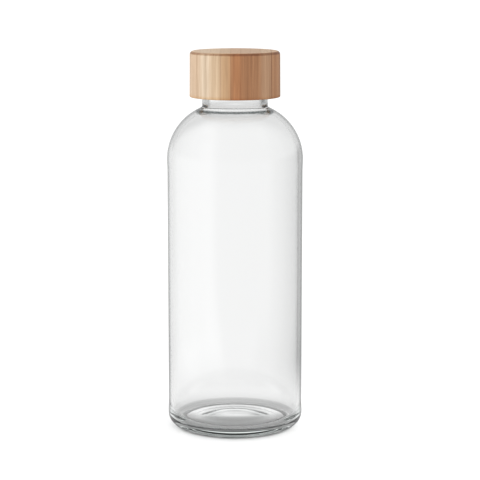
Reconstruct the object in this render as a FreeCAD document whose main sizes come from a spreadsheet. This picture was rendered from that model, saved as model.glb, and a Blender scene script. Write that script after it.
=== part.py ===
"""Glass water bottle with a screw lid turned from laminated bamboo.

The origin is on the axis, in the plane that the foot ring stands on. +Z is up. Sizes are in millimetres.
The lid is shown screwed down. A right-handed thread holds it, so it opens anticlockwise seen from above.
"""

import FreeCAD, Part
import math
import os
import Sketcher

os.makedirs("parts", exist_ok=True)
doc = FreeCAD.newDocument("water_bottle")

# ---------------------------------------------------------------- driving sizes

SIZES = {
    # glass, outside
    "body_radius": 37.6,
    "panel_radius": 37.4,
    "panel_taper": 6.5,
    "heel_radius": 8.0,
    "foot_ring_inner": 27.8,
    "push_up": 3.4,
    "shoulder_start": 150.4,
    "shoulder_radius": 31.0,
    "neck_radius": 18.05,
    "neck_fillet": 1.7,
    "rim_height": 201.8,
    "rim_round": 1.1,
    # glass, inside
    "wall": 2.8,
    "floor_edge": 4.8,
    "floor_crown": 2.8,
    "inner_corner": 6.0,
    "bore_radius": 15.0,
    "bore_fillet": 7.0,
    # thread, shared by the glass and the insert
    "thread_pitch": 4.2333,
    "thread_depth": 1.05,
    "thread_flank": 0.65,
    "glass_crest_width": 0.8,
    "insert_crest_width": 0.7,
    "thread_turns": 1.5,
    "thread_fade": 0.12,
    "thread_below_rim": 3.0,
    "thread_clearance": 0.45,
    "flank_clearance": 0.12,
    # bamboo lid
    "overall_height": 210.0,
    "lid_base": 184.8,
    "lid_top_radius": 24.8,
    "lid_foot_radius": 24.95,
    "lid_top_round": 2.1,
    "lid_foot_round": 0.6,
    "socket_radius": 21.15,
    "socket_top": 205.4,
    "first_joint": -18.9,
    "strip_width": 5.5,
    "strip_count": 9,
    # threaded insert, sealing ring and glue
    "insert_base": 185.2,
    "insert_radius": 20.7,
    "insert_bore": 19.6,
    "insert_disc": 1.6,
    "insert_flange": 1.2,
    "insert_lead": 0.7,
    "rib_radius": 21.05,
    "rib_width": 1.2,
    "rib_root": 20.2,
    "rib_count": 16,
    "ring_groove": 19.95,
    "ring_outer": 19.8,
    "ring_inner": 14.4,
    "ring_thickness": 1.5,
    "ring_round": 0.3,
    "glue_radius": 18.5,
}

sheet = doc.addObject("Spreadsheet::Sheet", "sizes")
for row, (alias, value) in enumerate(SIZES.items(), start=1):
    sheet.set(f"A{row}", alias)
    sheet.set(f"B{row}", str(value))
    sheet.setAlias(f"B{row}", alias)
doc.recompute()


def size(alias):
    """The number that the sheet holds under an alias."""
    return float(sheet.get(alias))


# Expressions that more than one piece uses
BODY, NECK, RIM = "sizes.body_radius", "sizes.neck_radius", "sizes.rim_height"
INNER_WALL = "sizes.body_radius - sizes.wall"
RING_TOP = "sizes.rim_height + sizes.ring_thickness"
DISC_TOP = f"{RING_TOP} + sizes.insert_disc"

# ---------------------------------------------------------------- sketch helpers

LEFT, RIGHT = 1, -1  # the way an outline's arc turns


def origin_plane(body, role):
    """One of a body's own three base planes."""
    return next(plane for plane in body.Origin.OriginFeatures if plane.Role == role)


def add_sketch(body, name, role):
    """An empty sketch on one of the body's base planes."""
    sketch = body.newObject("Sketcher::SketchObject", name)
    sketch.AttachmentSupport = (origin_plane(body, role), [""])
    sketch.MapMode = "FlatFace"
    return sketch


def bind(sketch, kind, places, expression):
    """Adds a dimension between places and ties it to the sheet."""
    value = float(sketch.evalExpression(expression))
    index = sketch.addConstraint(Sketcher.Constraint(kind, *places, value))
    sketch.setExpression(f"Constraints[{index}]", expression)


def hold_point(sketch, edge, end, corner):
    """Holds an end of an edge at its (x, y), each an expression. "0" puts it on the axis."""
    across, up = corner
    if across == "0":
        sketch.addConstraint(Sketcher.Constraint("PointOnObject", edge, end, -2))
    else:
        bind(sketch, "DistanceX", (-1, 1, edge, end), across)
    if up == "0":
        sketch.addConstraint(Sketcher.Constraint("PointOnObject", edge, end, -1))
    else:
        bind(sketch, "DistanceY", (-1, 1, edge, end), up)


def arc_between(start, end, radius, turn):
    """The arc of under half a turn from start to end that turns to the left or to the right."""
    chord = end - start
    to_bulge = FreeCAD.Vector(chord.y, -chord.x, 0).normalize() * turn
    rise = radius - math.sqrt(radius**2 - (chord.Length / 2) ** 2)
    return Part.Arc(start, (start + end) / 2 + to_bulge * rise, end)


def outline(body, name, corners, arcs=None):
    """A closed profile on the XZ plane. corners are (x, y) expressions in order. arcs maps the number of a
    corner to the (radius expression, turn) of the edge that leaves it, and every other edge is straight."""
    arcs = arcs or {}
    sketch = add_sketch(body, name, "XZ_Plane")
    places = []
    for corner in corners:
        across, up = (float(sketch.evalExpression(expression)) for expression in corner)
        places.append(FreeCAD.Vector(across, up, 0))
    count = len(corners)
    first_end, last_end = [], []
    for edge, start in enumerate(places):
        end = places[(edge + 1) % count]
        radius, turn = arcs.get(edge, (None, LEFT))
        if radius is None:
            sketch.addGeometry(Part.LineSegment(start, end))
        else:
            sketch.addGeometry(arc_between(start, end, float(sketch.evalExpression(radius)), turn))
        # a sketch keeps every arc anticlockwise, so one that turns right starts at its second end
        first_end.append(1 if turn == LEFT else 2)
        last_end.append(2 if turn == LEFT else 1)
    for edge in range(count):
        following = (edge + 1) % count
        joined = (edge, last_end[edge], following, first_end[following])
        sketch.addConstraint(Sketcher.Constraint("Coincident", *joined))
    for edge, corner in enumerate(corners):
        hold_point(sketch, edge, first_end[edge], corner)
    for edge, (radius, _) in arcs.items():
        bind(sketch, "Radius", (edge,), radius)
    return sketch


def new_body(name):
    """An empty body, whose label is its name."""
    body = doc.addObject("PartDesign::Body", name)
    body.Label = name
    return body


def turn_profile(body, kind, name, sketch):
    """Turns a sketch once round the axis: kind is Revolution to add it, or Groove to cut it."""
    feature = body.newObject(f"PartDesign::{kind}", name)
    feature.Profile = sketch
    feature.ReferenceAxis = (sketch, ["V_Axis"])
    feature.Angle = 360
    sketch.Visibility = False
    doc.recompute()
    return feature


def ogee_radius(width, height):
    """The radius of two equal arcs that make a smooth step of this width and height."""
    return f"(({width})^2 + ({height})^2) / (4 * ({height}))"


def shoulder(wall_radius, throat_radius, arc_radius, fillet_radius):
    """Where the shoulder's arc meets its fillet, and where the fillet meets the throat, as expressions."""
    cosine = f"(1 - ({wall_radius} - {throat_radius}) / ({arc_radius} + {fillet_radius}))"
    sine = f"sqrt(1 - {cosine}^2)"
    meeting = (
        f"{wall_radius} - {arc_radius} + ({arc_radius}) * {cosine}",
        f"sizes.shoulder_start + ({arc_radius}) * {sine}",
    )
    throat = (throat_radius, f"sizes.shoulder_start + ({arc_radius} + {fillet_radius}) * {sine}")
    return meeting, throat


# ---------------------------------------------------------------- thread


def thread_ridge(name, root, crest, crest_width, start_height):
    """A helical ridge with ends that fade out, between the root and crest radii. It is right-handed, and
    start_height is the middle of its lower end. A crest inside the root makes an internal thread."""
    sections_per_turn = 24
    buried = 0.4  # how far the ridge starts inside the wall that it stands on
    hidden_share = 0.15  # the part of its full height that each end starts with, all inside the wall
    softened = 0.3  # the part of its depth that is rounded off at the crest
    outward = 1 if crest > root else -1
    depth = abs(crest - root)
    flank, pitch, turns = size("thread_flank"), size("thread_pitch"), size("thread_turns")
    half_crest = crest_width / 2
    # the ridge's section, as (distance from its buried edge, half width)
    steps = [
        (0, half_crest + flank * (depth + buried)),
        (buried + depth * (1 - softened), half_crest + flank * depth * softened),
        (buried + depth, half_crest * (1 - softened)),
    ]
    section = steps + [(distance, -half) for distance, half in reversed(steps)]
    count = round(turns * sections_per_turn)
    wires = []
    for number in range(count + 1):
        turned = turns * number / count
        from_end = min(turned, turns - turned)
        fade = min(from_end / size("thread_fade"), 1)
        share = hidden_share + (1 - hidden_share) * fade * fade * (3 - 2 * fade)
        angle = 2 * math.pi * turned
        points = []
        for distance, half in section:
            radius = root + outward * (distance * share - buried)
            height = start_height + pitch * turned + half
            points.append(FreeCAD.Vector(radius * math.cos(angle), radius * math.sin(angle), height))
        wires.append(Part.makePolygon(points + points[:1]))
    ridge = doc.addObject("Part::Feature", name)
    ridge.Shape = Part.makeLoft(wires, True, False)
    return ridge


def add_thread(label, body, ridge):
    """The body and its thread as one solid."""
    fused = doc.addObject("Part::Fuse", label)
    fused.Base = body
    fused.Tool = ridge
    fused.Label = label
    return fused


THREAD_LENGTH = size("thread_turns") * size("thread_pitch")
GLASS_THREAD_START = size("rim_height") - size("thread_below_rim") - THREAD_LENGTH


def glass_bottle():
    """The blown bottle: outside, cavity and pushed-up base, with the thread of its finish."""
    body = new_body("blown_glass")
    meeting, throat = shoulder(BODY, NECK, "sizes.shoulder_radius", "sizes.neck_fillet")
    outside = outline(
        body,
        "outside_profile",
        [
            ("0", "0"),
            (f"{BODY} - sizes.heel_radius", "0"),
            (BODY, "sizes.heel_radius"),
            ("sizes.panel_radius", "sizes.heel_radius + sizes.panel_taper"),
            ("sizes.panel_radius", "sizes.shoulder_start - sizes.panel_taper"),
            (BODY, "sizes.shoulder_start"),
            meeting,
            throat,
            (NECK, f"{RIM} - sizes.rim_round"),
            (f"{NECK} - sizes.rim_round", RIM),
            ("0", RIM),
        ],
        {
            1: ("sizes.heel_radius", LEFT),
            5: ("sizes.shoulder_radius", LEFT),
            6: ("sizes.neck_fillet", RIGHT),
            8: ("sizes.rim_round", LEFT),
        },
    )
    turn_profile(body, "Revolution", "outside", outside)

    floor_width = f"{INNER_WALL} - sizes.inner_corner"
    floor_step = ogee_radius(floor_width, "sizes.floor_crown")
    inner_shoulder = "sizes.shoulder_radius - sizes.wall"
    meeting, throat = shoulder(INNER_WALL, "sizes.bore_radius", inner_shoulder, "sizes.bore_fillet")
    cavity = outline(
        body,
        "cavity_profile",
        [
            ("0", "sizes.floor_edge + sizes.floor_crown"),
            (f"({floor_width}) / 2", "sizes.floor_edge + sizes.floor_crown / 2"),
            (floor_width, "sizes.floor_edge"),
            (INNER_WALL, "sizes.floor_edge + sizes.inner_corner"),
            (INNER_WALL, "sizes.shoulder_start"),
            meeting,
            throat,
            ("sizes.bore_radius", f"{RIM} - sizes.rim_round"),
            ("sizes.bore_radius + sizes.rim_round", RIM),
            ("sizes.bore_radius + sizes.rim_round", f"{RIM} + sizes.rim_round"),
            ("0", f"{RIM} + sizes.rim_round"),
        ],
        {
            0: (floor_step, RIGHT),
            1: (floor_step, LEFT),
            2: ("sizes.inner_corner", LEFT),
            4: (inner_shoulder, LEFT),
            5: ("sizes.bore_fillet", RIGHT),
            7: ("sizes.rim_round", RIGHT),
        },
    )
    turn_profile(body, "Groove", "cavity", cavity)

    base_step = ogee_radius("sizes.foot_ring_inner", "sizes.push_up")
    punt = outline(
        body,
        "push_up_profile",
        [
            ("0", "0"),
            ("sizes.foot_ring_inner", "0"),
            ("sizes.foot_ring_inner / 2", "sizes.push_up / 2"),
            ("0", "sizes.push_up"),
        ],
        {1: (base_step, RIGHT), 2: (base_step, LEFT)},
    )
    turn_profile(body, "Groove", "push_up", punt)
    crest = size("neck_radius") + size("thread_depth")
    ridge = thread_ridge(
        "glass_thread", size("neck_radius"), crest, size("glass_crest_width"), GLASS_THREAD_START
    )
    return add_thread("glass_bottle", body, ridge)


def threaded_insert():
    """The moulded cup that carries the lid's thread, with glue ribs outside and a groove for the ring."""
    body = new_body("moulded_cup")
    ring_base = f"{RIM} - 0.05"
    profile = outline(
        body,
        "cup_profile",
        [
            ("sizes.insert_bore + sizes.insert_lead", "sizes.insert_base"),
            ("sizes.rib_radius", "sizes.insert_base"),
            ("sizes.rib_radius", "sizes.insert_base + sizes.insert_flange"),
            ("sizes.insert_radius", "sizes.insert_base + sizes.insert_flange"),
            ("sizes.insert_radius", DISC_TOP),
            ("0", DISC_TOP),
            ("0", RING_TOP),
            ("sizes.ring_groove", RING_TOP),
            ("sizes.ring_groove", ring_base),
            ("sizes.insert_bore", ring_base),
            ("sizes.insert_bore", "sizes.insert_base + sizes.insert_lead"),
        ],
    )
    turn_profile(body, "Revolution", "cup", profile)

    rib_sketch = add_sketch(body, "rib_profile", "XY_Plane")
    rib_sketch.setExpression("AttachmentOffset.Base.z", "sizes.insert_base + sizes.insert_flange")
    root, tip, half = size("rib_root"), size("rib_radius"), size("rib_width") / 2
    corners = [FreeCAD.Vector(*at, 0) for at in ((root, -half), (tip, -half), (tip, half), (root, half))]
    for number, start in enumerate(corners):
        rib_sketch.addGeometry(Part.LineSegment(start, corners[(number + 1) % 4]))
    for number in range(4):
        rib_sketch.addConstraint(Sketcher.Constraint("Coincident", number, 2, (number + 1) % 4, 1))
    for number, direction in ((0, "Horizontal"), (2, "Horizontal"), (3, "Vertical")):
        rib_sketch.addConstraint(Sketcher.Constraint(direction, number))
    rib_sketch.addConstraint(Sketcher.Constraint("Symmetric", 0, 2, 2, 1, -1))
    bind(rib_sketch, "DistanceY", (1, 1, 1, 2), "sizes.rib_width")
    bind(rib_sketch, "DistanceX", (-1, 1, 0, 1), "sizes.rib_root")
    bind(rib_sketch, "DistanceX", (-1, 1, 0, 2), "sizes.rib_radius")
    rib = body.newObject("PartDesign::Pad", "rib")
    rib.Profile = rib_sketch
    rib.setExpression("Length", f"{DISC_TOP} - sizes.insert_base - sizes.insert_flange")
    doc.recompute()
    ribs = body.newObject("PartDesign::PolarPattern", "ribs")
    ribs.Originals = [rib]
    ribs.Axis = (rib_sketch, ["N_Axis"])
    ribs.Angle = 360
    ribs.setExpression("Occurrences", "sizes.rib_count")
    body.Tip = ribs

    crest = size("neck_radius") + size("thread_clearance")
    overlap = size("neck_radius") + size("thread_depth") - crest
    crest_widths = size("glass_crest_width") + size("insert_crest_width")
    half_widths = crest_widths / 2 + size("thread_flank") * overlap
    start = GLASS_THREAD_START - half_widths - size("flank_clearance")
    ridge = thread_ridge("insert_thread", size("insert_bore"), crest, size("insert_crest_width"), start)
    return add_thread("threaded_insert", body, ridge)


def sealing_ring():
    """The silicone washer that the insert presses on the rim of the glass."""
    body = new_body("sealing_ring")
    low, high, rounding = RIM, RING_TOP, "sizes.ring_round"
    profile = outline(
        body,
        "ring_profile",
        [
            (f"sizes.ring_inner + {rounding}", low),
            (f"sizes.ring_outer - {rounding}", low),
            ("sizes.ring_outer", f"{low} + {rounding}"),
            ("sizes.ring_outer", f"{high} - {rounding}"),
            (f"sizes.ring_outer - {rounding}", high),
            (f"sizes.ring_inner + {rounding}", high),
            ("sizes.ring_inner", f"{high} - {rounding}"),
            ("sizes.ring_inner", f"{low} + {rounding}"),
        ],
        {corner: (rounding, LEFT) for corner in (1, 3, 5, 7)},
    )
    turn_profile(body, "Revolution", "washer", profile)
    return body


def insert_adhesive():
    """The disc of glue between the insert and the wood."""
    disc = doc.addObject("Part::Cylinder", "insert_adhesive")
    disc.Label = "insert_adhesive"
    disc.setExpression("Radius", "sizes.glue_radius")
    disc.setExpression("Height", f"sizes.socket_top - ({DISC_TOP})")
    disc.setExpression("Placement.Base.z", DISC_TOP)
    return disc


def bamboo_strips():
    """The lid's wooden shell, turned from a block of upright bamboo strips that are glued face to face."""
    block = new_body("turned_block")
    profile = outline(
        block,
        "lid_profile",
        [
            ("sizes.socket_radius", "sizes.lid_base"),
            ("sizes.lid_foot_radius - sizes.lid_foot_round", "sizes.lid_base"),
            ("sizes.lid_foot_radius", "sizes.lid_base + sizes.lid_foot_round"),
            ("sizes.lid_top_radius", "sizes.overall_height - sizes.lid_top_round"),
            ("sizes.lid_top_radius - sizes.lid_top_round", "sizes.overall_height"),
            ("0", "sizes.overall_height"),
            ("0", "sizes.socket_top"),
            ("sizes.socket_radius", "sizes.socket_top"),
        ],
        {1: ("sizes.lid_foot_round", LEFT), 3: ("sizes.lid_top_round", LEFT)},
    )
    turn_profile(block, "Revolution", "turned_shell", profile)

    count = int(size("strip_count"))
    edge = "sizes.lid_foot_radius + 1"
    joints = [f"-({edge})"]
    joints += [f"sizes.first_joint + {number} * sizes.strip_width" for number in range(count - 1)]
    joints += [edge]
    strips = []
    for number in range(count):
        slab = doc.addObject("Part::Box", f"slab_{number + 1}")
        slab.setExpression("Length", f"{joints[number + 1]} - ({joints[number]})")
        slab.setExpression("Width", f"2 * ({edge})")
        slab.setExpression("Height", "sizes.overall_height - sizes.lid_base")
        slab.setExpression("Placement.Base.x", joints[number])
        slab.setExpression("Placement.Base.y", f"-({edge})")
        slab.setExpression("Placement.Base.z", "sizes.lid_base")
        strip = doc.addObject("Part::Common", f"bamboo_strip_{number + 1}")
        strip.Base = block
        strip.Tool = slab
        strip.Label = f"bamboo_strip_{number + 1}"
        strips.append(strip)
    return strips


# ---------------------------------------------------------------- build, check and write

pieces = [glass_bottle(), sealing_ring(), threaded_insert(), insert_adhesive(), *bamboo_strips()]
doc.recompute()

for item in doc.Objects:
    if {"Invalid", "Error"} & set(item.State):
        raise RuntimeError(f"{item.Label} failed: {item.State}")
    if item.isDerivedFrom("Sketcher::SketchObject") and not item.FullyConstrained:
        raise RuntimeError(f"{item.Label} is not fully constrained")

for piece in pieces:
    shape = piece.Shape
    if shape.isNull() or not shape.isValid() or len(shape.Solids) != 1:
        raise RuntimeError(f"{piece.Label} is not one valid solid")
    print(f"{piece.Label}: {shape.Volume / 1000:.2f} cm3")
    shape.exportStep(f"parts/{piece.Label}.step")
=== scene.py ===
"""Looks for the glass water bottle with a bamboo screw lid, in metres, in the frame of the CAD model.

The bottle is a fine lathe of the CAD profile, because clear glass shows every facet. The lid's CAD
pieces stay as they are and get their materials. A staged tent of light and dark panels, which glass and
glossy reflections see, draws the edges of the glass.
"""

import math

import bmesh
import bpy
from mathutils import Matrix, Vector, noise


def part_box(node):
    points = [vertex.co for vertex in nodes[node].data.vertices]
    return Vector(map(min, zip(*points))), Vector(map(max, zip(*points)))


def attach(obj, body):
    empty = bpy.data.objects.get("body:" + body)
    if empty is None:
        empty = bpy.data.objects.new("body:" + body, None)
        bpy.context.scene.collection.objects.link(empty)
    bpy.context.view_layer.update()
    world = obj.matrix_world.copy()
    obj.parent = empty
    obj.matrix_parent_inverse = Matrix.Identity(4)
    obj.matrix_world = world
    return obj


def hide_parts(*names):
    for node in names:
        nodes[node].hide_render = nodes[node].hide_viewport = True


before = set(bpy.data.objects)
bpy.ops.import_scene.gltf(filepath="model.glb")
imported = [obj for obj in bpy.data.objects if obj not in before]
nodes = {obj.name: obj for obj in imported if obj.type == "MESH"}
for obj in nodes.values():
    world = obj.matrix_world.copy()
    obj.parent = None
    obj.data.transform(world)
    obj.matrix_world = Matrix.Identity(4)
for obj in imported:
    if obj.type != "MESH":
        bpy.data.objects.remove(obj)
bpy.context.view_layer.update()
MM = 0.001

# ---------------------------------------------------------------- node helpers


class Nodes:
    """A short way to write a node tree. output is the tree's output node."""

    def __init__(self, tree, output_kind="ShaderNodeOutputMaterial"):
        self.tree = tree
        tree.nodes.clear()
        self.output = self.add(output_kind)

    def add(self, kind, inputs=None, **settings):
        """A new node. inputs maps a socket's name or number to a value or to another node's output."""
        node = self.tree.nodes.new(kind)
        for name, value in settings.items():
            setattr(node, name, value)
        for key, value in (inputs or {}).items():
            self.set(node.inputs[key], value)
        return node

    def set(self, socket, value):
        """Links a socket to another node's output, or gives it a value of its own."""
        if isinstance(value, bpy.types.NodeSocket):
            self.tree.links.new(value, socket)
        else:
            socket.default_value = value

    def math(self, operation, first, second=0.0, third=0.0, clamp=False):
        inputs = {0: first, 1: second, 2: third}
        return self.add("ShaderNodeMath", inputs, operation=operation, use_clamp=clamp).outputs[0]

    def vector_math(self, operation, first, second):
        return self.add("ShaderNodeVectorMath", {0: first, 1: second}, operation=operation).outputs[0]

    def map_range(self, value, low, high, to_low=0.0, to_high=1.0, smooth=False):
        """value, from low to high, as to_low to to_high."""
        inputs = {0: value, 1: low, 2: high, 3: to_low, 4: to_high}
        kind = "SMOOTHSTEP" if smooth else "LINEAR"
        return self.add("ShaderNodeMapRange", inputs, interpolation_type=kind).outputs[0]

    def rise(self, value, low, high):
        """A soft rise from 0 to 1 between low and high."""
        return self.map_range(value, low, high, smooth=True)

    def fall(self, value, low, high):
        """A soft fall from 1 to 0 between low and high."""
        return self.math("SUBTRACT", 1.0, self.rise(value, low, high))

    def place(self):
        """A point's place in metres."""
        return self.add("ShaderNodeTexCoord").outputs["Object"]

    def split(self, vector):
        """The three parts of a vector."""
        return self.add("ShaderNodeSeparateXYZ", {0: vector}).outputs

    def from_axis(self):
        """How far a point is from the bottle's axis."""
        flat = self.vector_math("MULTIPLY", self.place(), (1, 1, 0))
        return self.add("ShaderNodeVectorMath", {0: flat}, operation="LENGTH").outputs["Value"]

    def ramp(self, value, stops, smooth=False):
        """stops are (place, brightness or colour), in order."""
        node = self.add("ShaderNodeValToRGB", {0: value})
        node.color_ramp.interpolation = "EASE" if smooth else "LINEAR"
        elements = node.color_ramp.elements
        while len(elements) < len(stops):
            elements.new(1.0)
        for element, (place, colour) in zip(elements, stops):
            element.position = place
            element.color = colour if isinstance(colour, tuple) else (colour, colour, colour, 1)
        return node.outputs[0]

    def mix(self, share, first, second, blend="MIX"):
        """Two colours mixed: sockets 6 and 7 take them, and output 2 gives the result."""
        inputs = {0: share, 6: first, 7: second}
        node = self.add("ShaderNodeMix", inputs, data_type="RGBA", blend_type=blend)
        return node.outputs[2]

    def noise(self, vector, scale, detail=2.0, roughness=0.5):
        inputs = {"Vector": vector, "Scale": scale, "Detail": detail, "Roughness": roughness}
        return self.add("ShaderNodeTexNoise", inputs).outputs[0]

    def noise_colour(self, vector, scale):
        inputs = {"Vector": vector, "Scale": scale, "Detail": 1.0}
        return self.add("ShaderNodeTexNoise", inputs).outputs["Color"]

    def bump(self, height, strength, distance):
        inputs = {"Height": height, "Strength": strength, "Distance": distance}
        return self.add("ShaderNodeBump", inputs).outputs[0]


def new_material(name):
    """A material with its node helpers and its Principled shader."""
    material = bpy.data.materials.new(name)
    material.use_nodes = True
    make = Nodes(material.node_tree)
    shader = make.add("ShaderNodeBsdfPrincipled")
    make.set(make.output.inputs["Surface"], shader.outputs[0])
    return material, make, shader


def linear(red, green, blue):
    """A display colour of 0 to 255 as the linear colour that shaders take."""

    def channel(value):
        value /= 255
        return value / 12.92 if value <= 0.04045 else ((value + 0.055) / 1.055) ** 2.4

    return (channel(red), channel(green), channel(blue), 1.0)


def wear(node_name, material):
    """Gives a CAD node its material."""
    mesh = nodes[node_name].data
    mesh.materials.clear()
    mesh.materials.append(material)


# ---------------------------------------------------------------- the glass, as a fine lathe

# The profile's sizes, in millimetres
BODY_RADIUS = 37.6
PANEL_RADIUS = 37.4
PANEL_TAPER = 6.5
HEEL_RADIUS = 8.0
FOOT_RING_INNER = 27.8
PUSH_UP = 3.4
SHOULDER_START = 150.4
SHOULDER_RADIUS = 31.0
NECK_RADIUS = 18.05
NECK_FILLET = 1.7
RIM_HEIGHT = 201.8
RIM_ROUND = 1.1
WALL = 2.8
FLOOR_EDGE = 4.8
FLOOR_CROWN = 2.8
INNER_CORNER = 6.0
BORE_RADIUS = 15.0
BORE_FILLET = 7.0
THREAD_PITCH = 4.2333
THREAD_DEPTH = 1.05
THREAD_FLANK = 0.65
THREAD_CREST = 0.8
THREAD_TURNS = 1.5
THREAD_FADE = 0.12
THREAD_TOP = RIM_HEIGHT - 3.0

THREAD_MARGIN = 1.5  # how far the fine rings reach past the thread, up and down

# The lathe's rings: how many points lie in each, how far apart rings are on each stretch, and how many
# rings each curve has
AROUND = 208
FOOT_STEP = 0.6
WALL_STEP = 1.5
NECK_STEP = 1.2
THREAD_STEP = 0.16
RIM_STEP = 0.4
BORE_STEP = 1.0
BASE_RINGS = 28
HEEL_RINGS = 18
CORNER_RINGS = 16
SHOULDER_RINGS = 30
FILLET_RINGS = 12
RIM_RINGS = 8
TOUCH = 0.001  # radii closer than this are the same

# The blown inner wall's waves: how far it wanders, how the waves are stretched round and along it, how far
# under the rim they end, and over what height they fade
WAVE = 0.10
WAVE_ROUND = 1.1
WAVE_LENGTH = 55
WAVE_UNDER_RIM = 20
WAVE_FADE = 25


def smooth_step(value):
    """A soft rise from 0 to 1 as value goes from 0 to 1."""
    value = min(max(value, 0), 1)
    return value * value * (3 - 2 * value)


def line(start, end, spacing):
    """Points from start to end, without the end itself."""
    start, end = Vector(start), Vector(end)
    count = max(1, round((end - start).length / spacing))
    return [start.lerp(end, step / count) for step in range(count)]


def arc(centre, radius, first_angle, last_angle, count):
    """Points on an arc, angles in degrees, without the last one."""
    points = []
    for step in range(count):
        angle = math.radians(first_angle + (last_angle - first_angle) * step / count)
        points.append(Vector((centre[0] + radius * math.cos(angle), centre[1] + radius * math.sin(angle))))
    return points


def ogee(width, height, base, count):
    """A smooth step of two equal arcs, which falls from the axis to base at width."""
    radius = (width**2 + height**2) / (4 * height)
    points = []
    for step in range(count):
        across = width * step / count
        if across < width / 2:
            up = base + height - radius + math.sqrt(radius**2 - across**2)
        else:
            up = base + radius - math.sqrt(radius**2 - (width - across) ** 2)
        points.append(Vector((across, up)))
    return points


def shoulder(wall_radius, throat_radius, arc_radius, fillet_radius):
    """The shoulder's arc and the fillet that leads to the throat, from the wall upwards."""
    angle = math.degrees(math.acos(1 - (wall_radius - throat_radius) / (arc_radius + fillet_radius)))
    throat_height = SHOULDER_START + (arc_radius + fillet_radius) * math.sin(math.radians(angle))
    arc_centre = (wall_radius - arc_radius, SHOULDER_START)
    points = arc(arc_centre, arc_radius, 0, angle, SHOULDER_RINGS)
    fillet_centre = (throat_radius + fillet_radius, throat_height)
    points += arc(fillet_centre, fillet_radius, 180 + angle, 180, FILLET_RINGS)
    return points, throat_height


def outside_profile():
    """From the middle of the base, over the heel, the panel and the shoulder, to the top of the rim."""
    heel_centre = BODY_RADIUS - HEEL_RADIUS
    points = ogee(FOOT_RING_INNER, PUSH_UP, 0, BASE_RINGS)
    points += line((FOOT_RING_INNER, 0), (heel_centre, 0), FOOT_STEP)
    points += arc((heel_centre, HEEL_RADIUS), HEEL_RADIUS, -90, 0, HEEL_RINGS)
    for point in line((BODY_RADIUS, HEEL_RADIUS), (BODY_RADIUS, SHOULDER_START), WALL_STEP):
        from_end = min(point.y - HEEL_RADIUS, SHOULDER_START - point.y)
        sunk = (BODY_RADIUS - PANEL_RADIUS) * smooth_step(from_end / PANEL_TAPER)
        points.append(Vector((BODY_RADIUS - sunk, point.y)))
    curve, throat = shoulder(BODY_RADIUS, NECK_RADIUS, SHOULDER_RADIUS, NECK_FILLET)
    points += curve
    fine_start = THREAD_TOP - THREAD_PITCH * THREAD_TURNS - THREAD_MARGIN
    fine_end = THREAD_TOP + THREAD_MARGIN
    round_start = RIM_HEIGHT - RIM_ROUND
    points += line((NECK_RADIUS, throat), (NECK_RADIUS, fine_start), NECK_STEP)
    points += line((NECK_RADIUS, fine_start), (NECK_RADIUS, fine_end), THREAD_STEP)
    points += line((NECK_RADIUS, fine_end), (NECK_RADIUS, round_start), RIM_STEP)
    points += arc((NECK_RADIUS - RIM_ROUND, round_start), RIM_ROUND, 0, 90, RIM_RINGS)
    points += line((NECK_RADIUS - RIM_ROUND, RIM_HEIGHT), (BORE_RADIUS + RIM_ROUND, RIM_HEIGHT), RIM_STEP)
    return points


def inside_profile():
    """From the middle of the floor, up the wall, to the inner edge of the rim."""
    inner = BODY_RADIUS - WALL
    corner_top = FLOOR_EDGE + INNER_CORNER
    points = ogee(inner - INNER_CORNER, FLOOR_CROWN, FLOOR_EDGE, BASE_RINGS)
    points += arc((inner - INNER_CORNER, corner_top), INNER_CORNER, -90, 0, CORNER_RINGS)
    points += line((inner, corner_top), (inner, SHOULDER_START), WALL_STEP)
    curve, throat = shoulder(inner, BORE_RADIUS, SHOULDER_RADIUS - WALL, BORE_FILLET)
    points += curve
    round_start = RIM_HEIGHT - RIM_ROUND
    points += line((BORE_RADIUS, throat), (BORE_RADIUS, round_start), BORE_STEP)
    points += arc((BORE_RADIUS + RIM_ROUND, round_start), RIM_ROUND, 180, 90, RIM_RINGS)
    return points


def thread_rise(angle, height):
    """How far the thread's ridge stands out of the neck. angle is in turns."""
    highest = 0.0
    for turned in (angle, angle + 1):
        if turned > THREAD_TURNS:
            continue
        off = abs(height - (THREAD_TOP - THREAD_PITCH * (THREAD_TURNS - turned)))
        fade = smooth_step(min(turned, THREAD_TURNS - turned) / THREAD_FADE)
        slope = 1 - (off - THREAD_CREST / 2) / (THREAD_FLANK * THREAD_DEPTH)
        highest = max(highest, THREAD_DEPTH * fade * smooth_step(slope))
    return highest


def wall_wave(angle, height):
    """The unevenness of the blown inner wall: long, soft and different all round. angle is in turns."""
    turn = 2 * math.pi * angle
    place = Vector((WAVE_ROUND * math.cos(turn), WAVE_ROUND * math.sin(turn), height / WAVE_LENGTH))
    from_end = min(height - FLOOR_EDGE - INNER_CORNER, RIM_HEIGHT - WAVE_UNDER_RIM - height)
    return WAVE * noise.noise(place) * smooth_step(from_end / WAVE_FADE)


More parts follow.
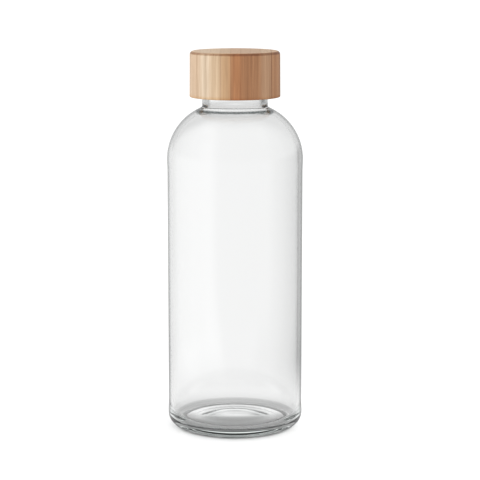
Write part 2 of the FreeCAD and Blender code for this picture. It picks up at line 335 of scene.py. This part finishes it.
def build_bottle():
    """The bottle as one closed shell, with an attribute, outer, that is 1 on its outside and 0 inside."""
    outside, inside = outside_profile(), inside_profile()
    shell = bmesh.new()
    rings = []
    for surface, profile in (("outside", outside), ("inside", inside[::-1])):
        for point in profile:
            if point.x == 0:
                rings.append([shell.verts.new((0, 0, point.y * MM))])
                continue
            ring = []
            for number in range(AROUND):
                angle = number / AROUND
                if surface == "outside":
                    on_neck = abs(point.x - NECK_RADIUS) < TOUCH
                    radius = point.x + (thread_rise(angle, point.y) if on_neck else 0)
                else:
                    radius = point.x + wall_wave(angle, point.y)
                turn = 2 * math.pi * angle
                place = (radius * math.cos(turn) * MM, radius * math.sin(turn) * MM, point.y * MM)
                ring.append(shell.verts.new(place))
            rings.append(ring)
        if surface == "outside":
            outside_count = len(shell.verts)
    for ring, following in zip(rings, rings[1:]):
        for number in range(AROUND):
            beside = (number + 1) % AROUND
            if len(ring) == 1:
                corners = (ring[0], following[beside], following[number])
            elif len(following) == 1:
                corners = (ring[number], ring[beside], following[0])
            else:
                corners = (ring[number], ring[beside], following[beside], following[number])
            shell.faces.new(corners).smooth = True
    bmesh.ops.recalc_face_normals(shell, faces=shell.faces)
    mesh = bpy.data.meshes.new("clear_bottle")
    shell.to_mesh(mesh)
    shell.free()
    outer = mesh.attributes.new("outer", "FLOAT", "POINT")
    for vertex in mesh.vertices:
        outer.data[vertex.index].value = 1.0 if vertex.index < outside_count else 0.0
    bottle = bpy.data.objects.new("clear_bottle", mesh)
    bpy.context.scene.collection.objects.link(bottle)
    return bottle


# ---------------------------------------------------------------- materials


# The glass is clear and faintly green where it is thick
GLASS_IOR = 1.52
ABSORPTION = (0.80, 0.88, 0.85, 1)
ABSORPTION_DENSITY = 12.0
# Painted shade, mixed into the glass's colour, that helps the dark lines of refraction along. facing is 0
# where the surface faces the viewer and 1 at its silhouette, and a ramp's stops are (facing, share of the
# painted shade).
CLEAR = (1, 1, 1, 1)
PAINTED_REFRACTION_SHADE = (0.06, 0.07, 0.07, 1)
SILHOUETTE_SHADE = [(0.0, 0.0), (0.68, 0.0), (0.84, 1.0), (1.0, 1.0)]
WEAKER_ABOVE = (142 * MM, 168 * MM)  # over these heights the silhouette's line falls to this share
WEAKER_SHARE = 0.85
NECK_SIDE_SHADE = [(0.29, 0.0), (0.42, 0.66), (0.68, 0.60), (0.92, 0.80)]
NECK_START = (179.5 * MM, 181.2 * MM)
# Two rings of painted shade, as heights and strength: outside at the foot of the neck, and inside at the
# base's corner
NECK_FOOT_SHADE_RING = (176.9 * MM, 178.7 * MM, 1.0)
BASE_CORNER_SHADE_RING = (5.1 * MM, 7.2 * MM, 0.4)
RING_EDGES = (0.35, 0.65)  # a ring is full between these shares of its height


def glass_material():
    """Clear glass with an absorbing inside, and painted shade for refraction's dark lines on its
    silhouette, neck and two rings.
    """
    material, make, shader = new_material("clear_glass")
    facing = make.add("ShaderNodeLayerWeight", {"Blend": 0.5}).outputs["Facing"]
    outer = make.add("ShaderNodeAttribute", attribute_name="outer").outputs["Fac"]
    inner = make.math("SUBTRACT", 1.0, outer)
    height = make.split(make.place())[2]

    def both(first, second):
        return make.math("MULTIPLY", first, second)

    def ring(low, high, strength):
        stops = [(0.0, 0.0), (RING_EDGES[0], strength), (RING_EDGES[1], strength), (1.0, 0.0)]
        return make.ramp(make.map_range(height, low, high), stops, smooth=True)

    weaker = make.map_range(height, *WEAKER_ABOVE, 1.0, WEAKER_SHARE)
    silhouette = both(both(make.ramp(facing, SILHOUETTE_SHADE, smooth=True), outer), weaker)
    neck = make.map_range(height, *NECK_START)
    neck_side_shade = both(both(make.ramp(facing, NECK_SIDE_SHADE, smooth=True), neck), outer)
    neck_foot_shade = both(ring(*NECK_FOOT_SHADE_RING), outer)
    base_corner_shade = both(ring(*BASE_CORNER_SHADE_RING), inner)
    # the share of painted shade is the strongest of the silhouette, neck and ring marks
    share = silhouette
    for tint in (neck_foot_shade, neck_side_shade, base_corner_shade):
        share = make.math("MAXIMUM", share, tint)
    make.set(shader.inputs["Base Color"], make.mix(share, CLEAR, PAINTED_REFRACTION_SHADE))
    make.set(shader.inputs["Roughness"], 0.0)
    make.set(shader.inputs["IOR"], GLASS_IOR)
    make.set(shader.inputs["Transmission Weight"], 1.0)
    inputs = {"Color": ABSORPTION, "Density": ABSORPTION_DENSITY}
    absorption = make.add("ShaderNodeVolumeAbsorption", inputs)
    make.set(make.output.inputs["Volume"], absorption.outputs[0])
    return material


def blend(first, second, share):
    """A colour between two others."""
    return tuple(a + (b - a) * share for a, b in zip(first, second))


def shaded(colour, *factors):
    """A colour with each channel times its factor, or all three times one."""
    factors = factors * 3 if len(factors) == 1 else factors
    return tuple(channel * factor for channel, factor in zip(colour, factors)) + (1,)


def bamboo_material(node_name, tones, dark_joint):
    """One strip of bamboo. Its fibres stand upright, so they show as streaks on the side and as dots on
    the end grain of the top. tones are the strip's own and its two neighbours', left and right, towards
    which it shades a little. dark_joint is how dark the glue line at the strip's left face is."""
    material, make, shader = new_material(f"{node_name}_wood")
    low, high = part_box(node_name)
    place = make.place()
    x, _, z = make.split(place)
    facing_up = make.split(make.add("ShaderNodeTexCoord").outputs["Normal"])[2]

    # fibres: the same pattern at every height, but for a slow wander, and other in each strip
    own_place = make.vector_math("ADD", place, (0.31 * low.x, 7.3 * low.x, 3.7 * low.x))
    wander = make.vector_math("SUBTRACT", make.noise_colour(own_place, WANDER_SCALE), (0.5, 0.5, 0.5))
    wander = make.vector_math("MULTIPLY", wander, (WANDER, WANDER, 0))
    fibres = make.vector_math("ADD", own_place, wander)
    upright = make.vector_math("MULTIPLY", fibres, (1, 1, FIBRE_STRETCH))
    bundle_inputs = {"Vector": upright, "Scale": BUNDLE_SCALE, "Randomness": 0.9}
    bundle = make.add("ShaderNodeTexVoronoi", bundle_inputs).outputs["Distance"]
    dots = make.fall(bundle, 0.12, 0.42)
    streaks = make.noise(upright, STREAK_SCALE, 3, 0.65)
    bands = make.noise(make.vector_math("MULTIPLY", fibres, (1, 1, BAND_STRETCH)), BAND_SCALE, 2, 0.5)
    # the bundles crowd towards the skin side of each strip
    skin = make.rise(x, low.x, high.x)

    # the side: its neighbours' tones at both edges, streaks and bundles
    before, own, after = tones
    stops = [(0.0, blend(own, before, 0.35)), (0.35, own), (0.65, own), (1.0, blend(own, after, 0.35))]
    across = make.math("DIVIDE", make.math("SUBTRACT", x, low.x), high.x - low.x)
    body = make.ramp(across, [(at, shaded(tone, WOOD_ON_SIDE)) for at, tone in stops], smooth=True)
    shade = make.math("ADD", make.math("MULTIPLY", streaks, 0.5), make.math("MULTIPLY", bands, 0.5))
    side = make.mix(1.0, body, make.ramp(shade, [(0.36, DARK_STREAK), (0.66, LIGHT_STREAK)]), "MULTIPLY")
    bundle_tint = make.math("MULTIPLY", dots, make.math("MULTIPLY_ADD", skin, 0.25, 0.20))
    side = make.mix(bundle_tint, side, shaded(own, 0.45, 0.35, 0.26))
    # the top: end grain with dots
    ground = shaded(blend(END_GRAIN, own, 0.3), WOOD_ON_TOP)
    top = make.ramp(streaks, [(0.35, shaded(ground, 0.86)), (0.65, shaded(ground, 1.12))])
    bundle_tint = make.math("MULTIPLY", dots, make.math("MULTIPLY_ADD", skin, 0.35, 0.30))
    top = make.mix(bundle_tint, top, shaded(ground, 0.50, 0.40, 0.32))
    end_grain = make.rise(make.math("ABSOLUTE", facing_up), 0.80, 0.97)
    colour = make.mix(end_grain, side, top)

    # the roundings get a painted shade in patches, and the foot is a little darker and more orange
    rounding = make.math("MULTIPLY", make.rise(facing_up, 0.15, 0.40), make.fall(facing_up, 0.75, 0.96))
    patches = make.math("MULTIPLY_ADD", make.noise(own_place, 120, 2), 0.9, 0.45)
    rounding_shade = make.math("MULTIPLY", rounding, patches, clamp=True)
    colour = make.mix(rounding_shade, colour, ROUNDING_SHADE_TINT, "MULTIPLY")
    foot = make.fall(z, low.z + FOOT_EDGE[0], low.z + FOOT_EDGE[1])
    colour = make.mix(make.math("MULTIPLY", foot, 0.8), colour, FOOT_TINT, "MULTIPLY")
    # glue lines on both faces
    left = make.math("MULTIPLY", make.fall(x, low.x + GLUE_LEFT[0], low.x + GLUE_LEFT[1]), dark_joint)
    right = make.math("MULTIPLY", make.rise(x, high.x - GLUE_RIGHT, high.x), 0.3)
    colour = make.mix(make.math("MAXIMUM", left, right), colour, GLUE_TINT, "MULTIPLY")
    make.set(shader.inputs["Base Color"], colour)

    rough = make.math("MULTIPLY_ADD", streaks, 0.22, 0.42)
    make.set(shader.inputs["Roughness"], make.math("MULTIPLY_ADD", end_grain, 0.12, rough))
    make.set(shader.inputs["Specular IOR Level"], 0.35)
    height = make.math("SUBTRACT", make.math("MULTIPLY", streaks, 0.7), make.math("MULTIPLY", dots, 0.6))
    make.set(shader.inputs["Normal"], make.bump(height, 0.35, GRAIN_DEPTH))
    return material


def moulded_material(name, scale, dark, light, rough, grain, depth):
    """A clouded colour from dark to light with a fine skin. scale is the clouds' and grain the skin's,
    rough is the range of its roughness, and depth is how deep its bumps are."""
    material, make, shader = new_material(name)
    place = make.place()
    cloud = make.noise(place, scale, 3)
    skin = make.noise(place, grain, 4, 0.6)
    make.set(shader.inputs["Base Color"], make.ramp(cloud, [(0.3, linear(*dark)), (0.7, linear(*light))]))
    spread = make.math("MULTIPLY_ADD", skin, rough[1] - rough[0], rough[0])
    make.set(shader.inputs["Roughness"], spread)
    height = make.math("ADD", make.math("MULTIPLY", skin, 0.6), make.math("MULTIPLY", cloud, 0.4))
    make.set(shader.inputs["Normal"], make.bump(height, 0.3, depth))
    return material


# Each strip's tone from left to right, and how dark the glue line on its left is
STRIPS = [
    (linear(212, 185, 156), 0.0),
    (linear(210, 190, 165), 0.2),
    (linear(210, 184, 152), 0.2),
    (linear(188, 152, 113), 0.3),
    (linear(175, 120, 76), 0.4),
    (linear(165, 116, 77), 0.6),
    (linear(168, 120, 81), 0.2),
    (linear(183, 144, 110), 0.3),
    (linear(176, 127, 87), 1.0),
]
END_GRAIN = linear(196, 169, 141)
# the colour of the painted shade on the roundings
ROUNDING_SHADE_TINT = (0.56, 0.42, 0.32, 1)
FOOT_TINT = (0.92, 0.78, 0.60, 1)
GLUE_TINT = (0.50, 0.34, 0.24, 1)
DARK_STREAK = (0.80, 0.74, 0.68, 1)
LIGHT_STREAK = (1.22, 1.22, 1.22, 1)
WOOD_ON_SIDE = 0.72  # how bright the tones are on the side and on the top
WOOD_ON_TOP = 0.84
# The pattern: how fine each part is, how little it changes with height, and how far the fibres wander
STREAK_SCALE = 1500
BUNDLE_SCALE = 1150
BAND_SCALE = 330
WANDER_SCALE = 45
FIBRE_STRETCH = 0.012
BAND_STRETCH = 0.03
WANDER = 1.2 * MM
# Where the darker foot and the glue lines fade, from the strip's own faces
FOOT_EDGE = (0.4 * MM, 2.2 * MM)
GLUE_LEFT = (0.06 * MM, 0.34 * MM)
GLUE_RIGHT = 0.16 * MM
GRAIN_DEPTH = 0.12 * MM

bottle = build_bottle()
bottle.data.materials.append(glass_material())
bottle.visible_shadow = False  # its shade is drawn into the staged floor instead
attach(bottle, "bottle")
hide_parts("glass_bottle")

wear("threaded_insert", moulded_material(
    "moulded_plastic", 90, (226, 226, 220), (238, 238, 233), (0.28, 0.52), 1400, 0.00005))
wear("sealing_ring", moulded_material(
    "silicone", 160, (214, 216, 214), (228, 229, 226), (0.45, 0.75), 2200, 0.00003))
wear("insert_adhesive", moulded_material(
    "set_glue", 120, (205, 186, 140), (226, 212, 174), (0.30, 0.60), 500, 0.0003))
for number, (tone, dark_joint) in enumerate(STRIPS):
    strip = f"bamboo_strip_{number + 1}"
    before = STRIPS[max(number - 1, 0)][0]
    after = STRIPS[min(number + 1, len(STRIPS) - 1)][0]
    wear(strip, bamboo_material(strip, (before, tone, after), dark_joint))

# ---------------------------------------------------------------- studio

scene = bpy.context.scene
scene.view_settings.view_transform = "Standard"

# The floor has a painted shadow under the bottle's foot, which brightens between these distances from the
# axis
FLOOR_RADIUS = 12.0
FOOT_SHADE = (0.031, 0.034)
FLOOR_PAINTED_SHADOW = 0.30
FLOOR_BARE = 0.92

# The tent: walls, a rounded corner, a top, and a floor in two sheets, inside and outside the foot ring
TENT_RADIUS = 0.40
TENT_HEIGHT = 0.60
TENT_CORNER = 0.05
CORNER_STEPS = 8
TENT_FLOOR = 0.0002  # just above the real floor
MIDDLE_RADIUS = 0.0272
AROUND_FOOT = 0.0325
TOP_OPENING = 0.001
# The walls' light, as (degrees from +X towards +Y, brightness), where 90 is behind the bottle
BODY_LIGHT = [
    (-180, 1.05), (-160, 1.05), (-142, 0.85), (-35, 0.85), (-10, 0.5), (20, 0.4), (45, 0.45),
    (60, 0.62), (72, 0.82), (83, 0.89), (85.5, 0.93), (92.6, 0.93), (94.6, 1.0), (106, 1.0),
    (120, 0.85), (150, 0.85), (165, 1.05), (180, 1.05),
]
SHOULDER_VIEW = (0.145, 0.200)  # the heights over which the tent turns grey, for the shoulder
SHOULDER_GREY = (0.72, 0.72, 0.72, 1)
# The inner sheet's light, from its front (0) to its back (1)
UNDER_LIGHT = [(0.0, 0.25), (0.30, 0.3), (0.52, 0.42), (0.72, 0.95), (1.0, 0.95)]
# The outer sheet's light near the foot, by the distance from the axis
NEAR_LIGHT = [(0.0325, 0.3), (0.038, 0.5), (0.044, 0.72), (0.051, 0.87), (0.06, 0.91)]
UNDER_TO_NEAR = (0.028, 0.032)  # the distances over which the first gives way to the second
FLOOR_TO_WALLS = (0.06, 0.20)  # and over which the floor's own light gives way to the walls'

WORLD_STRENGTH = 1.25
KEY_PLACE = (-0.9, -0.8, 0.7)
KEY_TARGET = (0, 0, 0.12)
KEY_WIDTH = 0.6
KEY_POWER = 6.0
CAMERA_PLACE = (2.76 * MM, -994.9 * MM, 270.8 * MM)
CAMERA_PITCH = 9.46  # degrees below level
CAMERA_LENS = 136.0
SENSOR_WIDTH = 36


def stage_object(name, mesh, material):
    """A new object that isn't part of the bottle."""
    thing = bpy.data.objects.new(name, mesh)
    scene.collection.objects.link(thing)
    mesh.materials.append(material)
    return thing


def disc_mesh(name, radii_and_heights, count=128):
    """A turned sheet through (radius, height) rings. One ring alone is filled with one face."""
    mesh = bpy.data.meshes.new(name)
    verts, faces = [], []
    for radius, height in radii_and_heights:
        for number in range(count):
            angle = 2 * math.pi * number / count
            verts.append((radius * math.cos(angle), radius * math.sin(angle), height))
    for ring in range(len(radii_and_heights) - 1):
        for number in range(count):
            beside = (number + 1) % count
            first, second = ring * count, (ring + 1) * count
            faces.append((first + number, first + beside, second + beside, second + number))
    if len(radii_and_heights) == 1:
        faces.append(tuple(range(count)))
    mesh.from_pydata(verts, [], faces)
    return mesh


def build_floor():
    """A matt pale floor, with a painted shadow under the foot."""
    material, make, shader = new_material("pale_floor")
    shade = make.map_range(make.from_axis(), *FOOT_SHADE, FLOOR_PAINTED_SHADOW, FLOOR_BARE)
    make.set(shader.inputs["Base Color"], shade)
    make.set(shader.inputs["Roughness"], 1.0)
    make.set(shader.inputs["Specular IOR Level"], 0.0)
    stage_object("floor", disc_mesh("floor", [(FLOOR_RADIUS, 0)]), material)


def tent_material():
    """The light of the tent's panels: walls all round, grey for the shoulder, and darker at the foot."""
    material = bpy.data.materials.new("tent")
    material.use_nodes = True
    make = Nodes(material.node_tree)
    x, y, z = make.split(make.place())
    outwards = make.from_axis()
    around = make.math("ARCTAN2", y, x)
    turn = make.math("MULTIPLY_ADD", around, 0.5 / math.pi, 0.5)
    stops = [((degrees + 180) / 360, brightness) for degrees, brightness in BODY_LIGHT]
    walls = make.mix(make.rise(z, *SHOULDER_VIEW), make.ramp(turn, stops), SHOULDER_GREY)
    backwards = make.map_range(y, -MIDDLE_RADIUS, MIDDLE_RADIUS)
    under = make.ramp(backwards, UNDER_LIGHT)
    near = make.mix(make.rise(outwards, *UNDER_TO_NEAR), under, make.ramp(outwards, NEAR_LIGHT))
    light = make.mix(make.rise(outwards, *FLOOR_TO_WALLS), near, walls)
    emission = make.add("ShaderNodeEmission", {"Color": light, "Strength": 1.0})
    make.set(make.output.inputs["Surface"], emission.outputs[0])
    return material


def build_tent():
    """Light and dark panels round the bottle. Glass and glossy reflections see them, and the camera,
    diffuse light and shadows don't."""
    material = tent_material()
    rings = [(AROUND_FOOT, TENT_FLOOR), (TENT_RADIUS - TENT_CORNER, TENT_FLOOR)]
    for step in range(1, CORNER_STEPS + 1):
        angle = math.radians(90 * step / CORNER_STEPS)
        radius = TENT_RADIUS - TENT_CORNER + TENT_CORNER * math.sin(angle)
        rings.append((radius, TENT_CORNER - TENT_CORNER * math.cos(angle)))
    rings += [(TENT_RADIUS, TENT_HEIGHT), (TOP_OPENING, TENT_HEIGHT)]
    for name, sheet_rings in (("tent", rings), ("tent_middle", [(MIDDLE_RADIUS, TENT_FLOOR)])):
        tent = stage_object(name, disc_mesh(name, sheet_rings), material)
        tent.visible_camera = False
        tent.visible_diffuse = False
        tent.visible_shadow = False


def build_world():
    """Even white light from all round."""
    world = bpy.data.worlds.new("studio")
    scene.world = world
    world.use_nodes = True
    make = Nodes(world.node_tree, "ShaderNodeOutputWorld")
    inputs = {"Color": (1, 1, 1, 1), "Strength": WORLD_STRENGTH}
    background = make.add("ShaderNodeBackground", inputs)
    make.set(make.output.inputs["Surface"], background.outputs[0])


def build_key_light():
    """A soft light from the front left."""
    data = bpy.data.lights.new("key", "AREA")
    data.shape = "RECTANGLE"
    data.size = KEY_WIDTH
    data.size_y = KEY_WIDTH
    data.energy = KEY_POWER
    light = bpy.data.objects.new("key", data)
    scene.collection.objects.link(light)
    light.location = KEY_PLACE
    aim = Vector(KEY_TARGET) - Vector(KEY_PLACE)
    light.rotation_euler = aim.to_track_quat("-Z", "Y").to_euler()


def build_camera():
    """The camera looks along +Y and a little down."""
    data = bpy.data.cameras.new("camera")
    data.sensor_width = SENSOR_WIDTH
    data.lens = CAMERA_LENS
    camera = bpy.data.objects.new("camera", data)
    scene.collection.objects.link(camera)
    camera.location = CAMERA_PLACE
    camera.rotation_euler = (math.radians(90 - CAMERA_PITCH), 0, 0)
    scene.camera = camera


build_floor()
build_tent()
build_world()
build_key_light()
build_camera()
